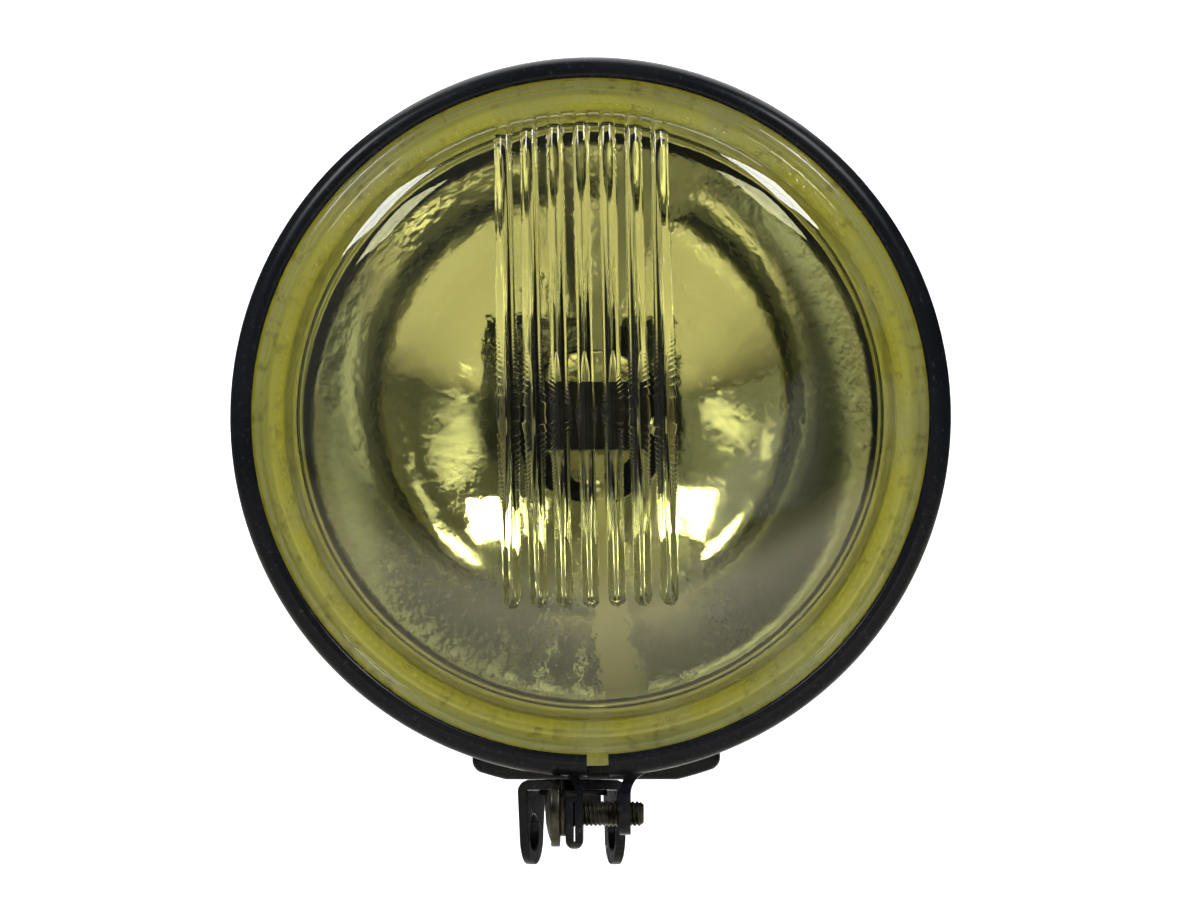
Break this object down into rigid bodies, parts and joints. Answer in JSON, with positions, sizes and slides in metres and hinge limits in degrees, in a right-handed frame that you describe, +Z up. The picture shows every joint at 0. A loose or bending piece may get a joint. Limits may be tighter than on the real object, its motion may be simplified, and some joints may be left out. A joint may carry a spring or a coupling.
{
  "type": "fog light",
  "caption": "Round yellow-lens auxiliary fog lamp: black steel housing, split clamp rim with screw, fluted glass, mirror reflector and swivelling U bracket below.",
  "frame": {"origin": "centre of the cross bore through the bracket's two ears", "axes": "+X along the cross bore, to the right as seen from in front; +Y to the rear, the lens faces -Y; +Z up"},
  "size_m": [0.166, 0.0996, 0.1865],
  "materials": {
    "black_paint": "semi-gloss black stoving paint on pressed steel",
    "dark_steel": "black-finished steel",
    "zinc": "yellowish zinc plating, dulled",
    "yellow_glass": "pressed yellow glass, polished",
    "rubber": "matt moulded rubber",
    "pale_rubber": "pale grey sealing rubber",
    "mirror": "vacuum-metallised mirror, slightly wavy",
    "shield_black": "matt black heat-proof paint",
    "rivet_aluminium": "satin",
    "spring_steel": "drawn wire, satin",
    "ceramic": "matt white ceramic",
    "brass": "satin",
    "clear_glass": "clear quartz glass"
  },
  "bodies": {
    "bracket": {"mount_bracket": "black_paint"},
    "lamp": {"swivel_bolt": "dark_steel", "swivel_washer": "zinc", "swivel_nut": "zinc", "mount_seat": "black_paint", "seat_rivets": "black_paint", "housing": "black_paint", "clamp_rim": "black_paint", "lens": "yellow_glass", "lens_gasket": "pale_rubber", "reflector": "mirror", "bulb_shield": "shield_black", "shield_rivets": "rivet_aluminium", "bulb_retainer": "zinc", "retainer_rivets": "rivet_aluminium", "bulb_flange": "zinc", "bulb_insulator": "ceramic", "bulb_terminal": "brass", "bulb_glass": "clear_glass", "bulb_filament": "spring_steel", "earth_screw": "zinc", "earth_washer": "zinc", "earth_nut": "zinc", "cable_grommet": "rubber"},
    "screw_washer": {"clamp_washer": "zinc"},
    "screw": {"clamp_screw": "zinc"},
    "clip": {"bulb_clip": "spring_steel"}
  },
  "joints": [
    {"name": "lamp_swivel", "type": "hinge", "parent": "bracket", "child": "lamp", "pos_m": [0, 0, 0], "axis": [0, 0, 1], "range_deg": [-40, 40]},
    {"name": "clamp_travel", "type": "slide", "parent": "lamp", "child": "screw_washer", "axis": [-1, 0, 0], "range_m": [0, 0.003]},
    {"name": "clamp_turn", "type": "hinge", "parent": "screw_washer", "child": "screw", "pos_m": [0.0046, -0.0255, 0.0046], "axis": [-1, 0, 0], "range_deg": [0, 1080]},
    {"name": "clip_swing", "type": "hinge", "parent": "lamp", "child": "clip", "pos_m": [0.024, 0.01805, 0.096], "axis": [0, 0, -1], "range_deg": [0, 40]}
  ],
  "couplings": [
    {"joint": "clamp_travel", "follows": "clamp_turn", "m_per_rad": 0.000159}
  ]
}
